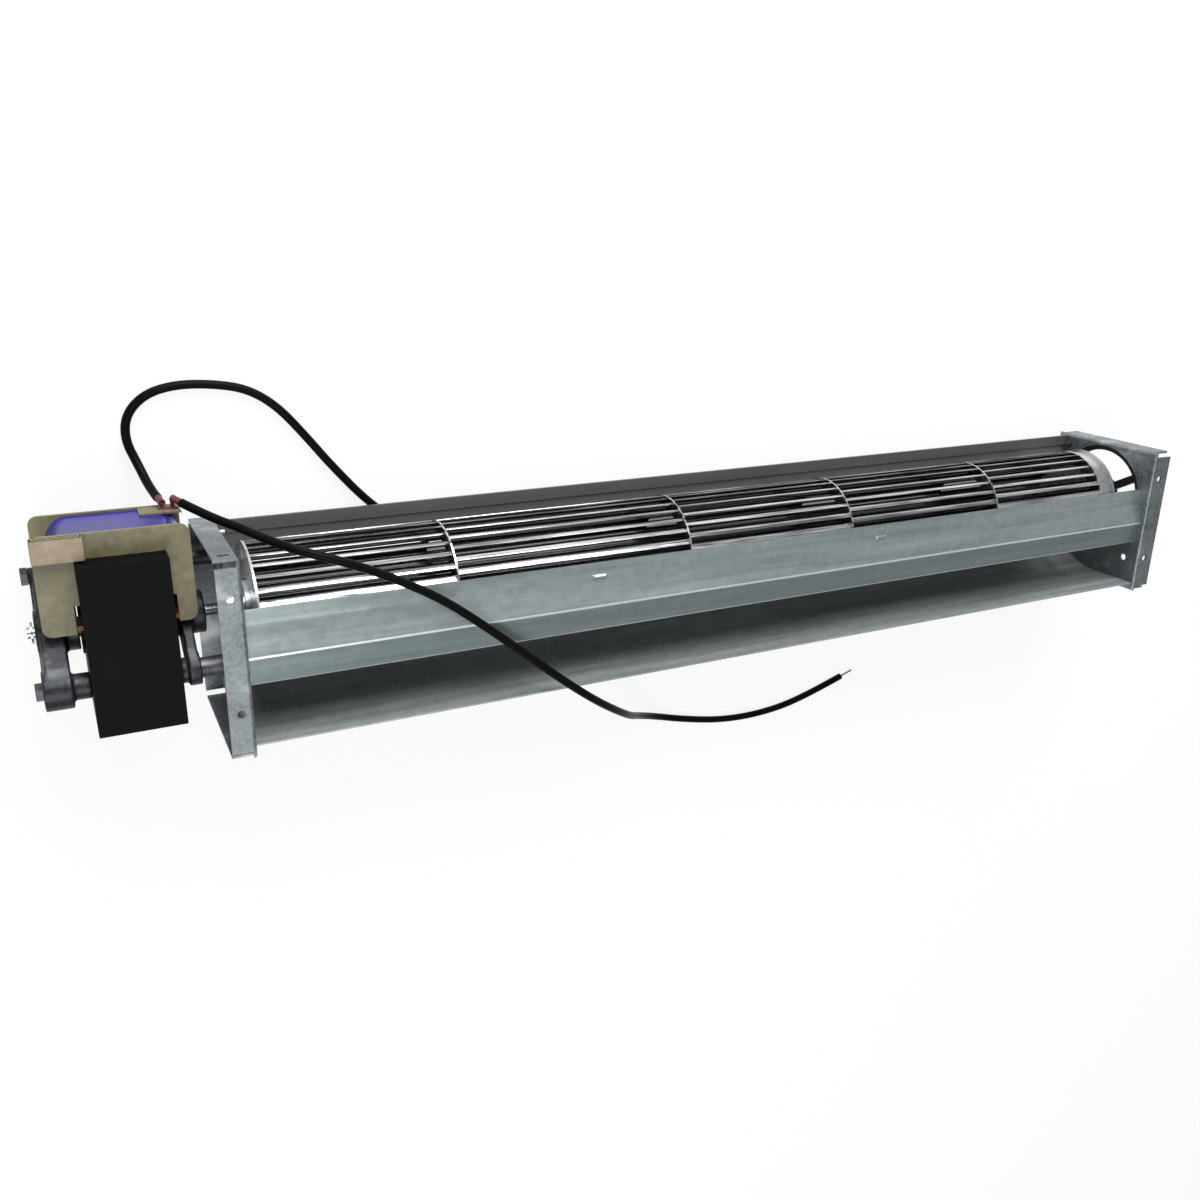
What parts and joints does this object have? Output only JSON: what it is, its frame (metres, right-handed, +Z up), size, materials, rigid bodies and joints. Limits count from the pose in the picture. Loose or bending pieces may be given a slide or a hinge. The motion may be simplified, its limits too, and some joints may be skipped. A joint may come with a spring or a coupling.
{
  "type": "cross flow fan",
  "caption": "Cross flow fan: a bladed drum impeller in a folded sheet duct between end plates, driven by a shaded-pole motor with free lead wires.",
  "frame": {"origin": "centre of the fan's box, without its leads, on the surface that the end plates' rear flanges lie on", "axes": "+X along the impeller from the motor to the far bearing, +Y from the outlet side to the inlet side, +Z up, towards the flanges with the fixing holes"},
  "size_m": [0.645, 0.2275, 0.0823],
  "materials": {
    "galvanised_sheet": "zinc-coated sheet, faint spangle, semi-matt",
    "black_moulding": "moulded black nylon, satin",
    "bearing_rubber": "matt black rubber",
    "sintered_bronze": "oiled sintered bronze",
    "core_steel": "stamped laminations dipped in black varnish",
    "copper": "bare copper",
    "bobbin_nylon": "moulded beige nylon",
    "winding_tape": "purple-blue polyester tape",
    "tinned_brass": "tinned brass",
    "die_cast": "dark die casting",
    "zinc_steel": "zinc-plated steel",
    "shaft_steel": "ground steel",
    "aluminium_hub": "turned aluminium",
    "aluminium_sheet": "bright rolled aluminium",
    "lead_sleeve": "black flexible insulation",
    "tinned_copper": "tinned copper strands"
  },
  "bodies": {
    "housing": {"left_end_plate": "galvanised_sheet", "right_end_plate": "galvanised_sheet", "scroll_wall": "galvanised_sheet", "tongue_rail": "galvanised_sheet", "bearing_holder": "black_moulding", "far_bearing_rubber": "bearing_rubber", "far_bearing_bush": "sintered_bronze", "motor_core": "core_steel", "coil_core_bar": "core_steel", "shading_rings": "copper", "coil_bobbin": "bobbin_nylon", "coil_winding": "winding_tape", "terminals": "tinned_brass", "outer_bearing_bracket": "die_cast", "inner_bearing_bracket": "die_cast", "motor_bushes": "sintered_bronze", "motor_spacers": "zinc_steel", "motor_screws": "zinc_steel", "motor_nuts": "zinc_steel", "sheet_screws": "zinc_steel", "holder_screws": "zinc_steel", "rear_lead": "lead_sleeve", "front_lead": "lead_sleeve", "lead_conductors": "tinned_copper"},
    "impeller": {"motor_rotor": "core_steel", "motor_shaft": "shaft_steel", "drive_hub": "aluminium_hub", "clamp_screw": "zinc_steel", "drive_end_disc": "aluminium_sheet", "blade_section_1": "aluminium_sheet", "blade_section_2": "aluminium_sheet", "blade_section_3": "aluminium_sheet", "blade_section_4": "aluminium_sheet", "blade_section_5": "aluminium_sheet", "far_end_disc": "aluminium_sheet", "stub_shaft": "shaft_steel", "retaining_rings": "zinc_steel"}
  },
  "joints": [
    {"name": "impeller_spin", "type": "hinge", "parent": "housing", "child": "impeller", "pos_m": [0, 0.00315, 0.0375], "axis": [1, 0, 0], "continuous": true}
  ]
}
